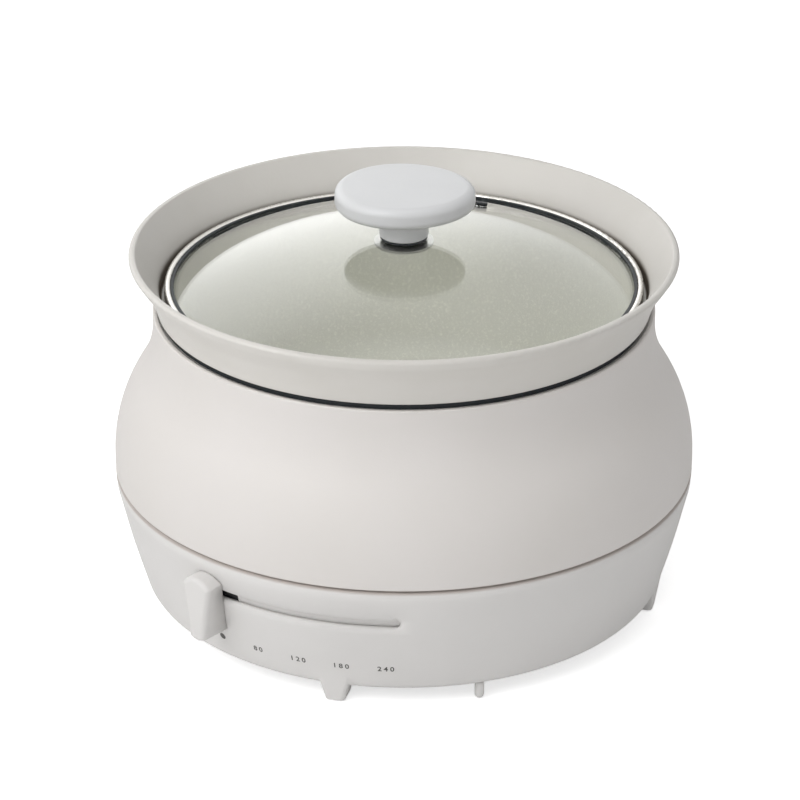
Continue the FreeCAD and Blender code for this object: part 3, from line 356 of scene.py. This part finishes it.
# A material as its form says. Inputs 6 and 7 of a Mix node are its two colours, and output 2 is their mix
def makeFinish(form):
    material = bpy.data.materials.new(form["name"])
    material.use_nodes = True
    tree = material.node_tree
    tree.nodes.clear()
    shader = addNode(tree, "ShaderNodeBsdfPrincipled")
    output = addNode(tree, "ShaderNodeOutputMaterial", {"Surface": shader.outputs["BSDF"]})
    for socket, value in form.get("sockets", {}).items():
        shader.inputs[socket].default_value = value
    place = addNode(tree, "ShaderNodeTexCoord").outputs["Object"]
    if "stretch" in form:
        stretched = addNode(tree, "ShaderNodeMapping", {"Vector": place, "Scale": form["stretch"]})
        place = stretched.outputs["Vector"]
    if "colours" in form:
        first, second = [hexColour(code) for code in form["colours"]]
        colour = addNode(tree, "ShaderNodeMix", {
            "Factor": colourShare(tree, place, form), 6: first, 7: second,
        }, data_type="RGBA").outputs[2]
        # Painted shade mixed into the colour where its mask says so
        if "paintedShade" in form:
            mask, code = form["paintedShade"]
            colour = addNode(tree, "ShaderNodeMix", {
                "Factor": mask(tree, place), 6: colour, 7: hexColour(code),
            }, data_type="RGBA").outputs[2]
        tree.links.new(colour, shader.inputs["Base Color"])
    if "gloss" in form:
        tree.links.new(grain(tree, place, form["gloss"]), shader.inputs["Roughness"])
    if "relief" in form:
        relief = form["relief"]
        bump = addNode(tree, "ShaderNodeBump", {
            "Height": grain(tree, place, relief), "Distance": relief["depth"] * mm,
            "Strength": relief["strength"],
        })
        tree.links.new(bump.outputs["Normal"], shader.inputs["Normal"])
    if "shadow" in form:
        rays = addNode(tree, "ShaderNodeLightPath")
        clear = addNode(tree, "ShaderNodeBsdfTransparent", {"Color": hexColour(form["shadow"])})
        mix = addNode(tree, "ShaderNodeMixShader", {
            "Fac": rays.outputs["Is Shadow Ray"], 1: shader.outputs["BSDF"], 2: clear.outputs["BSDF"],
        })
        tree.links.new(mix.outputs["Shader"], output.inputs["Surface"])
    return material, tree, shader


finishes = {name: makeFinish(form)[0] for name, form in finishForms.items()}
print("finishes made", len(finishes))

nodeFinish = {
    "upper_casing": "housing", "base_tub": "base", "bottom_cover": "base", "slider_knob": "base",
    "slot_shutter": "base", "cover_screws": "steel", "inner_pot": "coat", "lid_knob": "knob",
    "lid_glass": "glass", "lid_band": "polished", "knob_screw": "steel", "knob_backing": "shield",
    "lid_seal": "silicone", "knob_washer": "silicone", "vent_grommet": "silicone", "seat_ring": "silicone",
    "heat_shield": "shield", "sensor_cap": "shield", "heating_element": "tube",
    "power_inlet": "phenolic", "slide_carrier": "phenolic", "thermostat_body": "phenolic",
    "carrier_guide": "acetal", "drive_pinion": "acetal",
    "terminal_block": "steatite", "thermal_fuse": "steatite",
}


def finishOf(name):
    if name in nodeFinish:
        return nodeFinish[name]
    if name.startswith("foot_pad"):
        return "rubber"
    if name.startswith("inlet_contact"):
        return "brass"
    return "steel"


# Edges that bend more than this many degrees stay sharp, and points nearer than this are merged
smoothing = {
    "bend": 35.0,
    "merge": 0.001 * mm,
}


# A merged, smooth copy of a CAD node that stands for it
def smoothCopy(name):
    source = nodes[name]
    mesh = source.data.copy()
    shape = bmesh.new()
    shape.from_mesh(mesh)
    bmesh.ops.remove_doubles(shape, verts=shape.verts, dist=smoothing["merge"])
    shape.to_mesh(mesh)
    shape.free()
    mesh.materials.clear()
    mesh.materials.append(finishes[finishOf(name)])
    mesh.shade_smooth()
    mesh.set_sharp_from_angle(angle=math.radians(smoothing["bend"]))
    piece = bpy.data.objects.new(name + "_skin", mesh)
    scene.collection.objects.link(piece)
    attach(piece, source["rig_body"])
    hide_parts(name)
    return piece


# What counts as the pot's floor, seen from inside
insideCoat = {
    "flatness": 0.5,
    "aboveBottom": 0.5 * mm,
}


# Gives the pot's inside, below the ledge of the lid, the cooking coat
def coatInside(piece):
    mesh = piece.data
    mesh.materials.append(finishes["cooking"])
    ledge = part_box("lid_band")[0].z
    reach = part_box("lid_band")[1].x
    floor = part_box("inner_pot")[0].z
    for face in mesh.polygons:
        centre = face.center
        inward = centre.x * face.normal.x + centre.y * face.normal.y < 0
        onFloor = face.normal.z > insideCoat["flatness"] and centre.z > floor + insideCoat["aboveBottom"]
        if centre.z < ledge and Vector((centre.x, centre.y)).length < reach and (inward or onFloor):
            face.material_index = 1


# The thick rolled lip of the brim, and how deep the lid's ring sits in the pot
lipForm = {
    "flareFrom": 151.0 * mm,
    "flareFull": 161.5 * mm,
    "thicker": 1.45 * mm,
    "softenFrom": 175.5 * mm,
    "soften": 0.45,
    "drop": 0.5 * mm,
}
ringForm = {
    "ledgeFrom": 152.5 * mm,
    "ledgeTo": 160.0 * mm,
    "deeper": 1.0 * mm,
    "slimmer": 0.8 * mm,
    "narrower": 0.3 * mm,
}
neckForm = {
    "longer": 0.9 * mm,
    "fade": 2.0 * mm,
}

# The CAD boxes that the forms below read, worked out once
measuredNodes = ("inner_pot", "lid_band", "lid_glass", "knob_washer")
boxes = {name: [Vector(corner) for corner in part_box(name)] for name in measuredNodes}


# Nought below start, one above end, smooth between
def ease(value, start, end):
    share = min(max((value - start) / (end - start), 0.0), 1.0)
    return share * share * (3 - 2 * share)


# Outer wall of the flare thickened outwards, and the ledge lowered under the ring
def formPot(place, normal, radius):
    outwards = place.x * normal.x + place.y * normal.y > 0
    if outwards and place.z > lipForm["flareFrom"]:
        growth = lipForm["thicker"] * ease(place.z, lipForm["flareFrom"], lipForm["flareFull"])
        growth *= 1 - lipForm["soften"] * ease(place.z, lipForm["softenFrom"], boxes["inner_pot"][1].z)
        place.xy *= (radius + growth) / radius
    place.z -= lipForm["drop"] * ease(place.z, lipForm["flareFull"], lipForm["softenFrom"])
    if not outwards and ringForm["ledgeFrom"] < place.z < ringForm["ledgeTo"]:
        place.z -= ringForm["deeper"] * (1 - ease(place.z, boxes["lid_band"][0].z, ringForm["ledgeTo"]))


# The ring set deeper, a little lower and narrower
def formRing(place, normal, radius):
    low, high = boxes["lid_band"]
    place.z -= ringForm["deeper"] + ringForm["slimmer"] * (place.z - low.z) / (high.z - low.z)
    place.xy *= (radius - ringForm["narrower"]) / radius


# The dome follows the ring at its edge and keeps its top
def formGlass(place, normal, radius):
    edge = boxes["lid_glass"][1].x
    place.xy *= 1 - ringForm["narrower"] / edge
    place.z -= ringForm["deeper"] * (radius / edge) ** 2


# The knob's neck reaches down over the washer
def formNeck(place, normal, radius):
    middle = boxes["knob_washer"][1].z
    place.z -= neckForm["longer"] * (1 - ease(place.z, middle, middle + neckForm["fade"]))


def formWasher(place, normal, radius):
    low, high = boxes["knob_washer"]
    place.z -= neckForm["longer"] * (place.z - low.z) / (high.z - low.z)


forms = {
    "inner_pot": formPot,
    "lid_band": formRing,
    "lid_seal": formRing,
    "lid_glass": formGlass,
    "vent_grommet": formGlass,
    "lid_knob": formNeck,
    "knob_washer": formWasher,
}


def giveForm(piece, form):
    mesh = piece.data
    normals = [vertex.normal.copy() for vertex in mesh.vertices]
    for vertex, normal in zip(mesh.vertices, normals):
        radius = vertex.co.xy.length
        if radius > 0:
            place = vertex.co.copy()
            form(place, normal, radius)
            vertex.co = place
    mesh.update()


# Cross recess of the screws that a user sees from below
crossRecess = {
    "span": 3.6 * mm,
    "slit": 0.75 * mm,
    "depth": 0.9 * mm,
    "flare": 0.6,
}


# Lowest point of each separate screw in a mesh
def screwTips(mesh):
    shape = bmesh.new()
    shape.from_mesh(mesh)
    left = set(shape.verts)
    tips = []
    while left:
        island = {left.pop()}
        waiting = list(island)
        while waiting:
            vertex = waiting.pop()
            for link in vertex.link_edges:
                other = link.other_vert(vertex)
                if other not in island:
                    island.add(other)
                    waiting.append(other)
        left -= island
        xs = [v.co.x for v in island]
        ys = [v.co.y for v in island]
        lowest = min(v.co.z for v in island)
        tips.append(Vector(((min(xs) + max(xs)) / 2, (min(ys) + max(ys)) / 2, lowest)))
    shape.free()
    return tips


# Two crossed tapered bars, the space that the driver's tip fills
def driverTip(tip):
    shape = bmesh.new()
    span, slit = crossRecess["span"], crossRecess["slit"]
    for long, wide in ((span, slit), (slit, span)):
        made = bmesh.ops.create_cube(shape, size=1.0)
        bmesh.ops.scale(shape, verts=made["verts"], vec=(long, wide, 2 * crossRecess["depth"]))
        bmesh.ops.translate(shape, verts=made["verts"], vec=tip)
        upper = [v for v in made["verts"] if v.co.z > tip.z]
        for vertex in upper:
            vertex.co.x = tip.x + (vertex.co.x - tip.x) * crossRecess["flare"]
            vertex.co.y = tip.y + (vertex.co.y - tip.y) * crossRecess["flare"]
    mesh = bpy.data.meshes.new("driverTip")
    shape.to_mesh(mesh)
    shape.free()
    return mesh


def cutRecesses(piece):
    mesh = bpy.data.meshes.new("driverTips")
    joined = bmesh.new()
    for tip in screwTips(piece.data):
        joined.from_mesh(driverTip(tip))
    joined.to_mesh(mesh)
    joined.free()
    mesh.materials.append(piece.data.materials[0])
    cutter = bpy.data.objects.new("driverTips", mesh)
    scene.collection.objects.link(cutter)
    cut = piece.modifiers.new("recess", "BOOLEAN")
    cut.operation = "DIFFERENCE"
    cut.solver = "EXACT"
    cut.use_self = True
    cut.object = cutter
    bpy.context.view_layer.update()
    shown = piece.evaluated_get(bpy.context.evaluated_depsgraph_get())
    cleared = bpy.data.meshes.new_from_object(shown)
    piece.modifiers.clear()
    piece.data = cleared
    bpy.data.objects.remove(cutter)


# The spring under the sensor cap gets a mesh of its own
def squashSpring(piece):
    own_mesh(piece)


def dressNodes():
    for name in sorted(nodes):
        piece = smoothCopy(name)
        if name in forms:
            giveForm(piece, forms[name])
        if name == "inner_pot":
            coatInside(piece)
        if name in ("cover_screws", "knob_screw"):
            cutRecesses(piece)
        if name == "sensor_spring":
            squashSpring(piece)


dressNodes()
print("nodes dressed", len(nodes))

# Printed scale under the slot: a dot for off and four plain numbers, laid on the base's wall
scaleMarks = {
    "height": 21.8 * mm,
    "dotAzimuth": -108.5,
    "dotSize": 3.4 * mm,
    "words": {"80": -99.25, "120": -90.0, "180": -80.75, "240": -71.5},
    "textSize": 3.9 * mm,
    "spread": 1.5,
    "bolder": 0.1 * mm,
    "curveSteps": 6,
    "dotSides": 32,
    "inkHeight": 0.03 * mm,
    "outside": 200 * mm,
}
baseWall = BVHTree.FromPolygons([v.co for v in nodes["base_tub"].data.vertices],
                                [p.vertices for p in nodes["base_tub"].data.polygons])


# Point of the base's outer wall at an azimuth and a height
def onWall(azimuth, height):
    outward = Vector((math.cos(azimuth), math.sin(azimuth), 0))
    start = outward * scaleMarks["outside"] + Vector((0, 0, height))
    return baseWall.ray_cast(start, -outward)[0] + outward * scaleMarks["inkHeight"]


# Lays a flat drawing, x to the right and y up, on the base's wall
def printOnWall(mesh, azimuth):
    radius = onWall(math.radians(azimuth), scaleMarks["height"]).xy.length
    for vertex in mesh.vertices:
        angle = math.radians(azimuth) + vertex.co.x / radius
        vertex.co = onWall(angle, scaleMarks["height"] + vertex.co.y)


def printedMark(name, mesh, azimuth):
    printOnWall(mesh, azimuth)
    mesh.materials.clear()
    mesh.materials.append(finishes["ink"])
    piece = bpy.data.objects.new(name, mesh)
    scene.collection.objects.link(piece)
    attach(piece, "base")


# Each number is made a flat mesh first, so that it bends with the wall
def makeScale():
    for word, azimuth in scaleMarks["words"].items():
        text = bpy.data.curves.new("scaleText", "FONT")
        text.body = word
        text.size = scaleMarks["textSize"]
        text.space_character = scaleMarks["spread"]
        text.align_x = "CENTER"
        text.align_y = "CENTER"
        text.offset = scaleMarks["bolder"]
        text.resolution_u = scaleMarks["curveSteps"]
        holder = bpy.data.objects.new("scaleText", text)
        scene.collection.objects.link(holder)
        bpy.context.view_layer.update()
        mesh = bpy.data.meshes.new_from_object(holder)
        bpy.data.objects.remove(holder)
        printedMark("scale_" + word, mesh, azimuth)
    shape = bmesh.new()
    bmesh.ops.create_circle(shape, cap_ends=True, segments=scaleMarks["dotSides"],
                            radius=scaleMarks["dotSize"] / 2)
    mesh = bpy.data.meshes.new("scaleDot")
    shape.to_mesh(mesh)
    shape.free()
    printedMark("scale_dot", mesh, scaleMarks["dotAzimuth"])


makeScale()
print("scale printed")

# Studio: an even sky and soft lamps, the strongest from the upper left. Powers are in watts
studio = {
    "sky": 0.41,
    "lampAim": (0, 0, 0.1),
    "key": {"azimuth": -24.0, "elevation": 40.0, "distance": 1.5, "size": 1.1, "power": 9.8},
    "side": {"azimuth": -70.0, "elevation": 35.0, "distance": 1.6, "size": 1.2, "power": 2.6},
    "top": {"azimuth": 10.0, "elevation": 82.0, "distance": 1.4, "size": 1.2, "power": 2.1},
    "front": {"azimuth": 20.0, "elevation": 8.0, "distance": 1.8, "size": 1.3, "power": 2.5},
    "fill": {"azimuth": 95.0, "elevation": 25.0, "distance": 1.6, "size": 1.2, "power": 1.5},
    "panel": {"azimuth": 232.0, "elevation": 18.0, "spread": (0.72, 0.97), "gain": 1.0},
}


# Camera, glossy and see-through rays find a white sky, and glossy ones the panel's bright patch too
def makeSky():
    world = bpy.data.worlds.new("studioSky")
    world.use_nodes = True
    tree = world.node_tree
    tree.nodes.clear()
    rays = addNode(tree, "ShaderNodeLightPath")
    glossy = rays.outputs["Is Glossy Ray"]
    seen = addNode(tree, "ShaderNodeMath", {0: rays.outputs["Is Camera Ray"], 1: glossy}, operation="MAXIMUM")
    seen = addNode(tree, "ShaderNodeMath", {0: seen.outputs[0], 1: rays.outputs["Is Transmission Ray"]},
                   operation="MAXIMUM")
    level = addNode(tree, "ShaderNodeMapRange", {
        "Value": seen.outputs[0], "To Min": studio["sky"], "To Max": 1.0,
    }).outputs["Result"]
    panel = studio["panel"]
    panelSide = towards(panel["azimuth"], panel["elevation"])
    direction = addNode(tree, "ShaderNodeTexCoord").outputs["Generated"]
    facing = addNode(tree, "ShaderNodeVectorMath", {0: direction, 1: panelSide},
                     operation="DOT_PRODUCT").outputs["Value"]
    shine = addNode(tree, "ShaderNodeMapRange", {
        "Value": facing, "From Min": panel["spread"][0], "From Max": panel["spread"][1],
        "To Max": panel["gain"],
    }, interpolation_type="SMOOTHSTEP").outputs["Result"]
    strength = addNode(tree, "ShaderNodeMath", {0: shine, 1: glossy, 2: level},
                       operation="MULTIPLY_ADD").outputs[0]
    sky = addNode(tree, "ShaderNodeBackground", {"Color": hexColour("#ffffff"), "Strength": strength})
    addNode(tree, "ShaderNodeOutputWorld", {"Surface": sky.outputs["Background"]})
    scene.world = world


# The floor is the only thing that glows, and only for the camera, so that it lights nothing
floorForm = {
    "name": "paleStudioFloor",
    "colours": ("#fafafa", "#f6f6f6"),
    "drift": {"size": 300, "detail": 1.0},
    "sockets": {"Roughness": 0.9, "Specular IOR Level": 0.2, "Emission Color": hexColour("#ffffff")},
    "radius": 8.0,
    "sides": 96,
    "glow": 0.6,
}


def makeFloor():
    shape = bmesh.new()
    bmesh.ops.create_circle(shape, cap_ends=True, segments=floorForm["sides"], radius=floorForm["radius"])
    mesh = bpy.data.meshes.new("paleFloor")
    shape.to_mesh(mesh)
    shape.free()
    material, tree, shader = makeFinish(floorForm)
    rays = addNode(tree, "ShaderNodeLightPath")
    glow = addNode(tree, "ShaderNodeMath", {0: rays.outputs["Is Camera Ray"], 1: floorForm["glow"]},
                   operation="MULTIPLY")
    tree.links.new(glow.outputs[0], shader.inputs["Emission Strength"])
    mesh.materials.append(material)
    floor = bpy.data.objects.new("paleFloor", mesh)
    scene.collection.objects.link(floor)


def makeLamps():
    for name in ("key", "side", "top", "front", "fill"):
        setup = studio[name]
        data = bpy.data.lights.new(name + "Lamp", "AREA")
        data.shape = "DISK"
        data.size = setup["size"]
        data.energy = setup["power"]
        lamp = bpy.data.objects.new(name + "Lamp", data)
        scene.collection.objects.link(lamp)
        back = towards(setup["azimuth"], setup["elevation"])
        lamp.location = Vector(studio["lampAim"]) + back * setup["distance"]
        lamp.rotation_mode = "QUATERNION"
        lamp.rotation_quaternion = (-back).to_track_quat("-Z", "Y")


makeSky()
makeFloor()
makeLamps()
print("studio lit")
